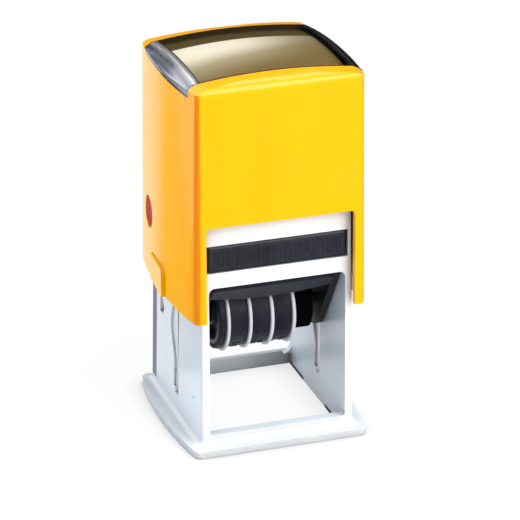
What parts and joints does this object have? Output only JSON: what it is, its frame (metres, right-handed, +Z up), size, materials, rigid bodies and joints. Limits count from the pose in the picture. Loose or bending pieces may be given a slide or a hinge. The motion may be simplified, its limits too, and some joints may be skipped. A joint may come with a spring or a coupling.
{
  "type": "self-inking date stamp",
  "caption": "Self-inking date stamp: a sprung cap pushes a flip-over platen with rotary date bands from its ink pad down to the paper.",
  "frame": {"origin": "middle of the underside of the base plate, where the stamp rests on the paper", "axes": "+Z up, along the cap's travel; front with the tray face and hand opening towards -Y; thumb wheel shaft along X"},
  "size_m": [0.0484, 0.0466, 0.096],
  "materials": {
    "yellow_cap": "gloss moulded plastic",
    "white_body": "satin moulded plastic",
    "strip_plastic": "satin moulded plastic",
    "foot_rubber": "matt rubber",
    "clear_window": "clear glossy plastic with a smoky tint",
    "card": "printed card, plain field",
    "red_button": "gloss moulded plastic",
    "spring_steel": "drawn wire",
    "dark_tray": "fine-ribbed moulded plastic",
    "pad_foam": "ink-soaked foam",
    "black_carriage": "satin moulded plastic",
    "pin_steel": "turned steel",
    "backing": "moulded plastic",
    "die_rubber": "engraved rubber",
    "white_wheel": "satin moulded plastic",
    "band_rubber": "moulded rubber"
  },
  "bodies": {
    "frame": {"base_frame": "white_body", "foot_front_right": "foot_rubber", "foot_front_left": "foot_rubber", "foot_back_right": "foot_rubber", "foot_back_left": "foot_rubber", "slide_strip_right": "strip_plastic", "slide_strip_left": "strip_plastic", "pad_tray": "dark_tray", "ink_pad": "pad_foam", "return_spring": "spring_steel"},
    "cap": {"cap_shell": "yellow_cap", "index_window": "clear_window", "index_card": "card", "flip_pin_right": "pin_steel", "flip_pin_left": "pin_steel"},
    "carriage": {"carriage": "black_carriage", "text_plate": "backing", "text_die": "die_rubber", "band_frame": "black_carriage", "wheel_shaft": "pin_steel", "date_band_1": "band_rubber", "date_band_2": "band_rubber", "date_band_3": "band_rubber", "date_band_4": "band_rubber"},
    "lock_right": {"lock_button_right": "red_button"},
    "lock_left": {"lock_button_left": "red_button"},
    "wheel_1": {"thumb_wheel_1": "white_wheel"},
    "wheel_2": {"thumb_wheel_2": "white_wheel"},
    "wheel_3": {"thumb_wheel_3": "white_wheel"},
    "wheel_4": {"thumb_wheel_4": "white_wheel"}
  },
  "joints": [
    {"name": "cap_press", "type": "slide", "parent": "frame", "child": "cap", "axis": [0, 0, -1], "range_m": [0, 0.0305], "stiffness_N_per_m": 300, "springref_m": -0.02, "deforming": ["return_spring"]},
    {"name": "carriage_flip", "type": "hinge", "parent": "cap", "child": "carriage", "pos_m": [0, 0, 0.0385], "axis": [-1, 0, 0], "range_deg": [0, 180]},
    {"name": "lock_right_press", "type": "slide", "parent": "cap", "child": "lock_right", "axis": [-1, 0, 0], "range_m": [0, 0.0008], "stiffness_N_per_m": 400, "springref_m": -0.001},
    {"name": "lock_left_press", "type": "slide", "parent": "cap", "child": "lock_left", "axis": [1, 0, 0], "range_m": [0, 0.0008], "stiffness_N_per_m": 400, "springref_m": -0.001},
    {"name": "wheel_1_turn", "type": "hinge", "parent": "carriage", "child": "wheel_1", "pos_m": [0, 0, 0.0278], "axis": [1, 0, 0], "continuous": true},
    {"name": "wheel_2_turn", "type": "hinge", "parent": "carriage", "child": "wheel_2", "pos_m": [0, 0, 0.0278], "axis": [1, 0, 0], "continuous": true},
    {"name": "wheel_3_turn", "type": "hinge", "parent": "carriage", "child": "wheel_3", "pos_m": [0, 0, 0.0278], "axis": [1, 0, 0], "continuous": true},
    {"name": "wheel_4_turn", "type": "hinge", "parent": "carriage", "child": "wheel_4", "pos_m": [0, 0, 0.0278], "axis": [1, 0, 0], "continuous": true}
  ],
  "couplings": [
    {"joint": "carriage_flip", "follows": "cap_press", "rad_per_m": 103}
  ]
}
